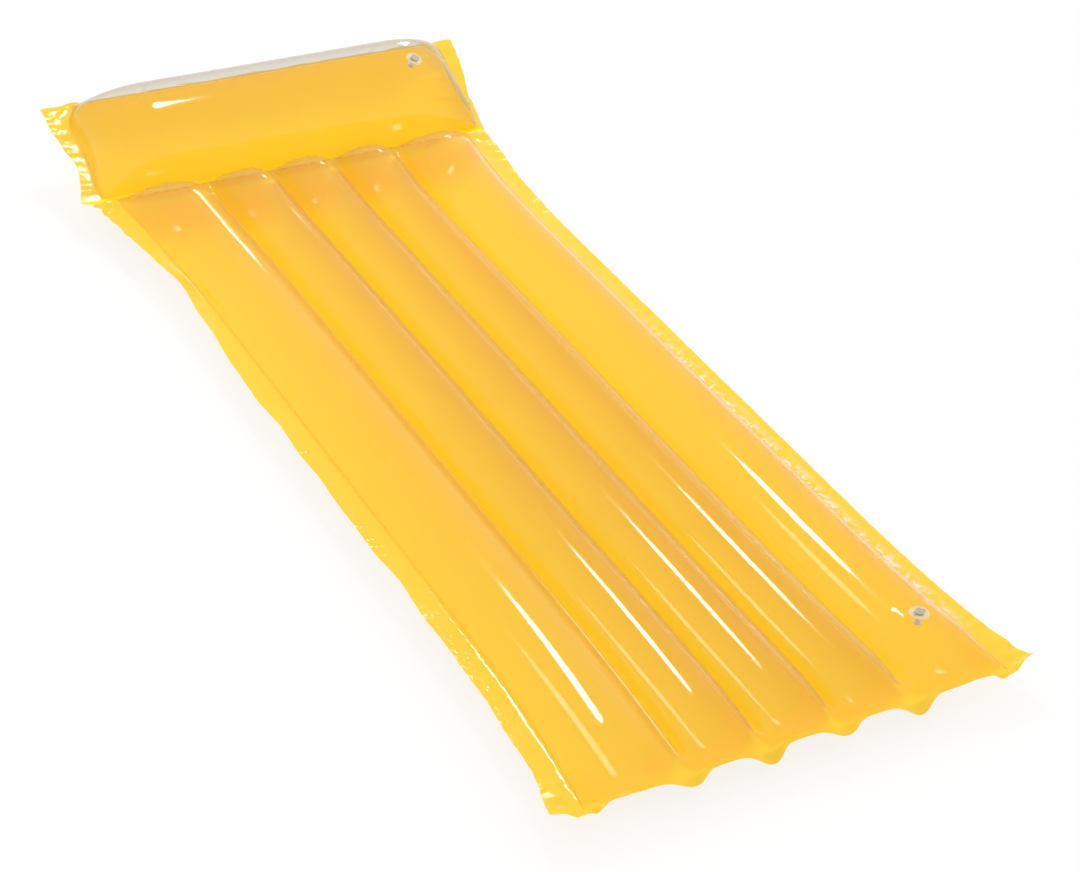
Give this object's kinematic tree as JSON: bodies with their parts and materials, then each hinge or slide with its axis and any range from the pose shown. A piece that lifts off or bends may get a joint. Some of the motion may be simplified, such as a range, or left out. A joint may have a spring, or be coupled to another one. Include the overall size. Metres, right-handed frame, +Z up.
{
  "type": "inflatable beach mattress",
  "caption": "Inflatable beach mattress: parallel air channels of clear film over coloured film, a separate round pillow chamber that folds at the head, and a push-in valve on each air space.",
  "frame": {"origin": "centre of the bounding box's bottom face, on the ground that the channels and the pillow rest on", "axes": "+Y from the foot to the pillow, +Z up from the ground, +X to the right of someone who looks from the foot to the pillow, on the side of both valves"},
  "size_m": [0.72, 1.6526, 0.1859],
  "materials": {
    "clear_film": "gloss",
    "yellow_film": "gloss",
    "valve_base": "satin",
    "valve_stem": "satin",
    "valve_plug": "satin",
    "valve_flap": "satin"
  },
  "bodies": {
    "mattress": {"mattress_top_film": "clear_film", "mattress_bottom_film": "yellow_film", "mattress_valve_base": "valve_base"},
    "mattress_valve_stem": {"mattress_valve_stem": "valve_stem"},
    "mattress_valve_plug": {"mattress_valve_plug": "valve_plug"},
    "mattress_valve_flap": {"mattress_valve_flap": "valve_flap"},
    "pillow": {"pillow_top_film": "clear_film", "pillow_bottom_film": "yellow_film", "pillow_valve_base": "valve_base"},
    "pillow_valve_stem": {"pillow_valve_stem": "valve_stem"},
    "pillow_valve_plug": {"pillow_valve_plug": "valve_plug"},
    "pillow_valve_flap": {"pillow_valve_flap": "valve_flap"}
  },
  "joints": [
    {"name": "pillow_fold", "type": "hinge", "parent": "mattress", "child": "pillow", "pos_m": [0, 0.6437, 0.05595], "axis": [1, 0, 0], "range_deg": [-60, 25]},
    {"name": "mattress_valve_push", "type": "slide", "parent": "mattress", "child": "mattress_valve_stem", "axis": [0, 0, 1], "range_m": [0, 0.0095]},
    {"name": "mattress_valve_plug_open", "type": "hinge", "parent": "mattress_valve_stem", "child": "mattress_valve_plug", "pos_m": [0.23188, -0.7233, 0.09275], "axis": [0, 1, 0], "range_deg": [0, 120]},
    {"name": "mattress_valve_flap_open", "type": "hinge", "parent": "mattress_valve_stem", "child": "mattress_valve_flap", "pos_m": [0.21888, -0.7233, 0.07575], "axis": [0, 1, 0], "range_deg": [0, 60], "stiffness_Nm_per_rad": 0.0001},
    {"name": "pillow_valve_push", "type": "slide", "parent": "pillow", "child": "pillow_valve_stem", "axis": [0.1541, -0.3728, 0.915], "range_m": [0, 0.0095]},
    {"name": "pillow_valve_plug_open", "type": "hinge", "parent": "pillow_valve_stem", "child": "pillow_valve_plug", "pos_m": [0.23588, 0.69993, 0.17502], "axis": [0, 0.9261, 0.3773], "range_deg": [0, 120]},
    {"name": "pillow_valve_flap_open", "type": "hinge", "parent": "pillow_valve_stem", "child": "pillow_valve_flap", "pos_m": [0.22042, 0.70551, 0.16132], "axis": [0, 0.9261, 0.3773], "range_deg": [0, 60], "stiffness_Nm_per_rad": 0.0001}
  ]
}
